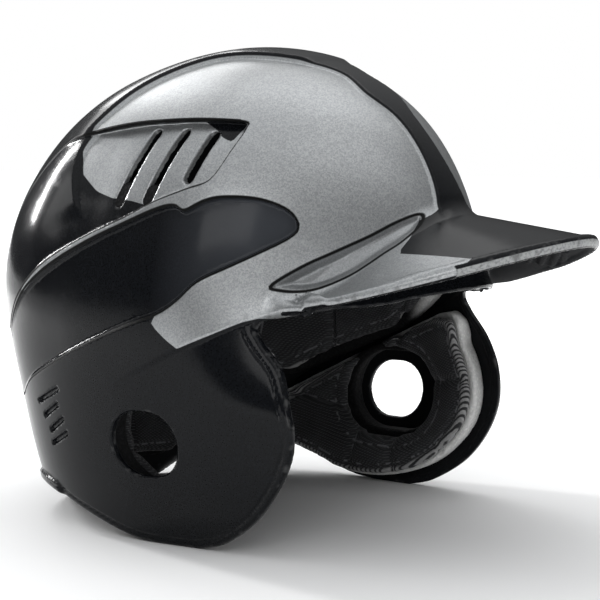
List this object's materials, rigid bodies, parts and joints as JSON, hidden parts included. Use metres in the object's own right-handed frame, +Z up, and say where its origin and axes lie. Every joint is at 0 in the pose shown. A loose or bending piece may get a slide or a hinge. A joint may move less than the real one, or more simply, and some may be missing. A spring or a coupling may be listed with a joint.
{
  "type": "batting helmet",
  "caption": "Hard-shell batting helmet with a moulded bill, two ear flaps with ear holes, side vent slots, a raised spine and a padded foam liner.",
  "frame": {"origin": "on the surface the helmet stands on, under the middle of its overall length and width", "axes": "+Z up, -Y towards the front edge of the bill, +X towards the wearer's left ear"},
  "size_m": [0.212, 0.291, 0.2118],
  "materials": {
    "shell_plastic": "moulded ABS, glossy black with metallic silver paint over the sides and brow",
    "impact_foam": "light grey closed-cell impact foam",
    "pad_fabric": "black brushed knit over soft foam"
  },
  "bodies": {
    "root": {"shell": "shell_plastic", "brow_foam": "impact_foam", "brow_pad": "pad_fabric", "crown_foam": "impact_foam", "crown_pad": "pad_fabric", "rear_foam": "impact_foam", "rear_pad": "pad_fabric", "nape_foam": "impact_foam", "nape_pad": "pad_fabric", "side_left_foam": "impact_foam", "side_left_pad": "pad_fabric", "side_right_foam": "impact_foam", "side_right_pad": "pad_fabric", "jaw_left_foam": "impact_foam", "jaw_left_pad": "pad_fabric", "jaw_right_foam": "impact_foam", "jaw_right_pad": "pad_fabric"}
  },
  "joints": []
}
